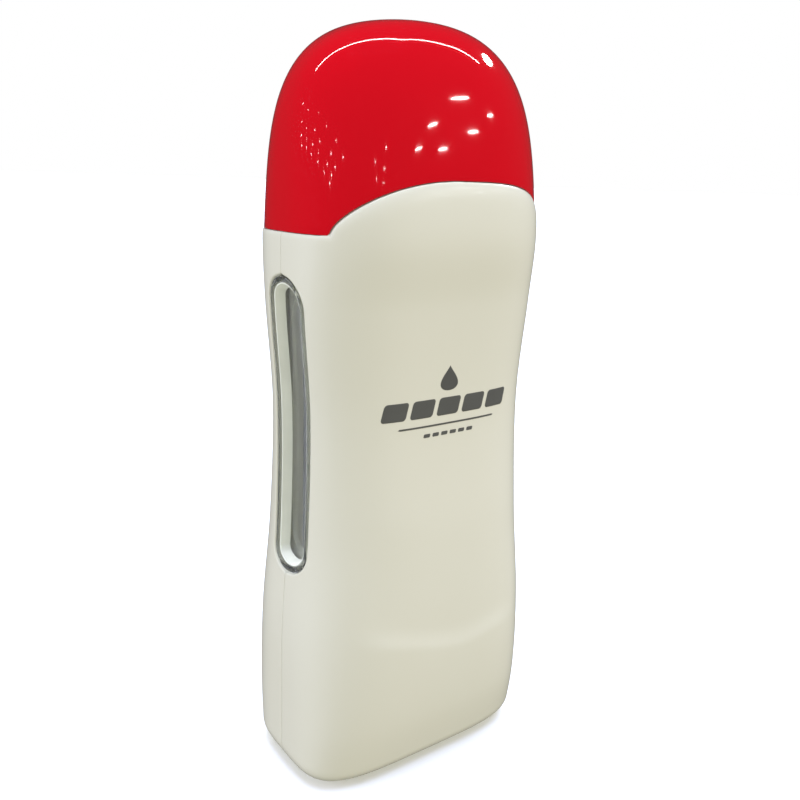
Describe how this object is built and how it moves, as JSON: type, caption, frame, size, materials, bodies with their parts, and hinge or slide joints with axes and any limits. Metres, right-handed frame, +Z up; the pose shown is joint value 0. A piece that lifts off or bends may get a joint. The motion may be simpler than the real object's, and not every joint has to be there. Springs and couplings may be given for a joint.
{
  "type": "wax cartridge warmer",
  "caption": "Upright hand-held electric warmer for roll-on wax cartridges: white two-part shell with clear side windows, red lift-off cap, heated chamber inside.",
  "frame": {"origin": "centre of the bounding box at the surface the feet stand on", "axes": "+X to the right across the width when the front is seen, +Y towards the rear with the mains inlet, +Z up through the cap"},
  "size_m": [0.0762, 0.0534, 0.205],
  "materials": {
    "shell_white": "smooth glossy cream-white moulding",
    "collar_white": "satin cream-white moulding",
    "base_white": "fine-textured cream-white moulding",
    "cap_red": "high-gloss red moulding",
    "window_clear": "clear polycarbonate with a bevelled rim",
    "liner_grey": "pale grey-green heat-resistant moulding",
    "plate_aluminium": "rolled sheet, dulled by heat",
    "heater_ceramic": "unglazed white ceramic",
    "film_amber": "amber insulating film",
    "spring_steel": "rolled spring steel",
    "screw_steel": "zinc-plated steel",
    "control_black": "black moulding",
    "pin_brass": "machined brass",
    "foot_rubber": "dark grey rubber",
    "lamp_red": "translucent red lens",
    "lamp_glass": "clear glass bulb",
    "board_green": "solder mask over glass fibre",
    "lead_red": "silicone insulation",
    "lead_blue": "silicone insulation",
    "lead_white": "silicone insulation"
  },
  "bodies": {
    "body": {"front_shell": "shell_white", "rear_shell": "shell_white", "neck_collar": "collar_white", "chamber_liner": "liner_grey", "chamber_floor": "liner_grey", "window_left": "window_clear", "window_right": "window_clear", "heater_plate_front": "plate_aluminium", "heater_plate_rear": "plate_aluminium", "ceramic_heater_front": "heater_ceramic", "ceramic_heater_rear": "heater_ceramic", "insulating_film_front": "film_amber", "insulating_film_rear": "film_amber", "heater_clamp_front": "spring_steel", "heater_clamp_rear": "spring_steel", "thermostat": "control_black", "thermal_fuse": "heater_ceramic", "base_plate": "base_white", "rubber_foot_1": "foot_rubber", "rubber_foot_2": "foot_rubber", "rubber_foot_3": "foot_rubber", "rubber_foot_4": "foot_rubber", "case_screw_1": "screw_steel", "case_screw_2": "screw_steel", "case_screw_3": "screw_steel", "case_screw_4": "screw_steel", "mains_inlet": "control_black", "inlet_pin_live": "pin_brass", "inlet_pin_neutral": "pin_brass", "lamp_lens": "lamp_red", "neon_lamp": "lamp_glass", "circuit_board": "board_green", "lamp_resistor": "film_amber", "terminal_block": "control_black", "live_lead": "lead_red", "thermostat_lead": "lead_red", "neutral_lead": "lead_blue", "fuse_lead": "lead_blue", "heater_lead_rear_left": "lead_white", "heater_lead_rear_right": "lead_white", "heater_lead_front_left": "lead_white", "heater_lead_front_right": "lead_white"},
    "cap": {"cap": "cap_red"}
  },
  "joints": [
    {"name": "cap_lift", "type": "slide", "parent": "body", "child": "cap", "axis": [0, 0, 1], "range_m": [0, 0.06]}
  ]
}
